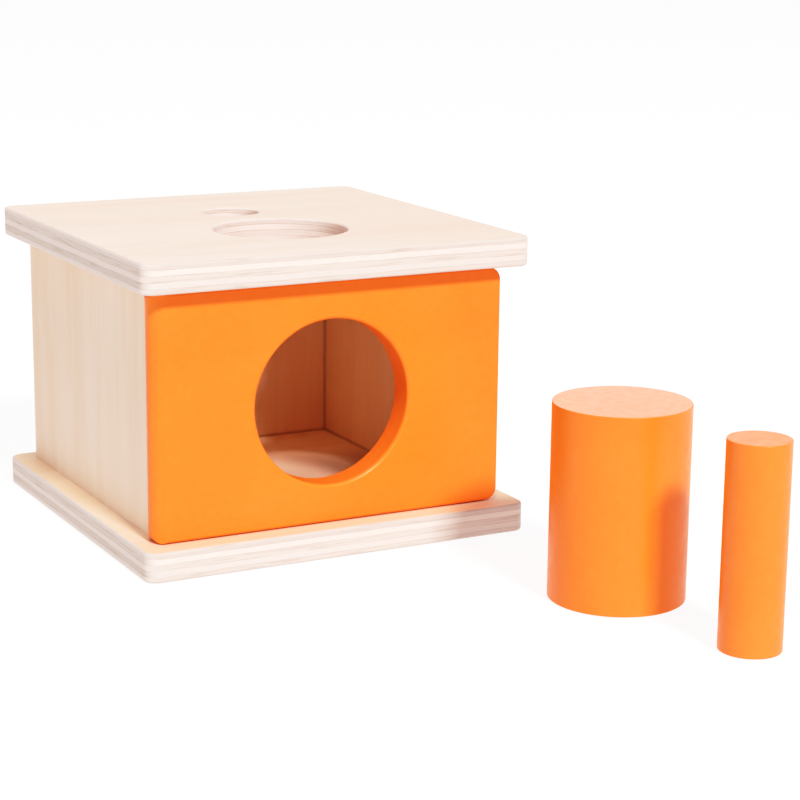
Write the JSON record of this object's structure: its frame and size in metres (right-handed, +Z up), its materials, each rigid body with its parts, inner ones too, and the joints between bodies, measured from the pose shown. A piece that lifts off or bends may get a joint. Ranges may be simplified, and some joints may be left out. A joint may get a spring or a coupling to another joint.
{
  "type": "object permanence box",
  "caption": "Low plywood box with round drop holes in its lid, a painted swinging front door with a hand hole, and loose painted cylinders that fit the holes.",
  "frame": {"origin": "middle of the base's underside", "axes": "+X to the right, +Y to the back, +Z up; the door and the loose cylinders are on the -Y side"},
  "size_m": [0.172, 0.323, 0.118],
  "materials": {
    "panel_plywood": "pale birch plywood under clear satin lacquer, layered edges",
    "wall_plywood": "pale birch plywood under clear satin lacquer, upright grain",
    "orange_paint": "satin orange paint on wood",
    "pin_steel": "plain bright steel",
    "dowel_beech": "raw beech"
  },
  "bodies": {
    "box": {"base_panel": "panel_plywood", "lid_panel": "panel_plywood", "left_side_panel": "wall_plywood", "right_side_panel": "wall_plywood", "back_panel": "wall_plywood", "base_dowels": "dowel_beech", "lid_dowels": "dowel_beech", "corner_dowels": "dowel_beech"},
    "door": {"front_door": "orange_paint", "upper_pivot_pin": "pin_steel", "lower_pivot_pin": "pin_steel"},
    "large_cylinder": {"large_cylinder": "orange_paint"},
    "small_cylinder": {"small_cylinder": "orange_paint"}
  },
  "joints": [
    {"name": "door_swing", "type": "hinge", "parent": "box", "child": "door", "pos_m": [-0.0676, -0.0655, 0.0586], "axis": [0, 0, -1], "range_deg": [0, 175]},
    {"name": "large_cylinder_lift", "type": "slide", "parent": "box", "child": "large_cylinder", "axis": [0, 0, 1], "range_m": [0, 0.15]},
    {"name": "small_cylinder_lift", "type": "slide", "parent": "box", "child": "small_cylinder", "axis": [0, 0, 1], "range_m": [0, 0.15]}
  ]
}
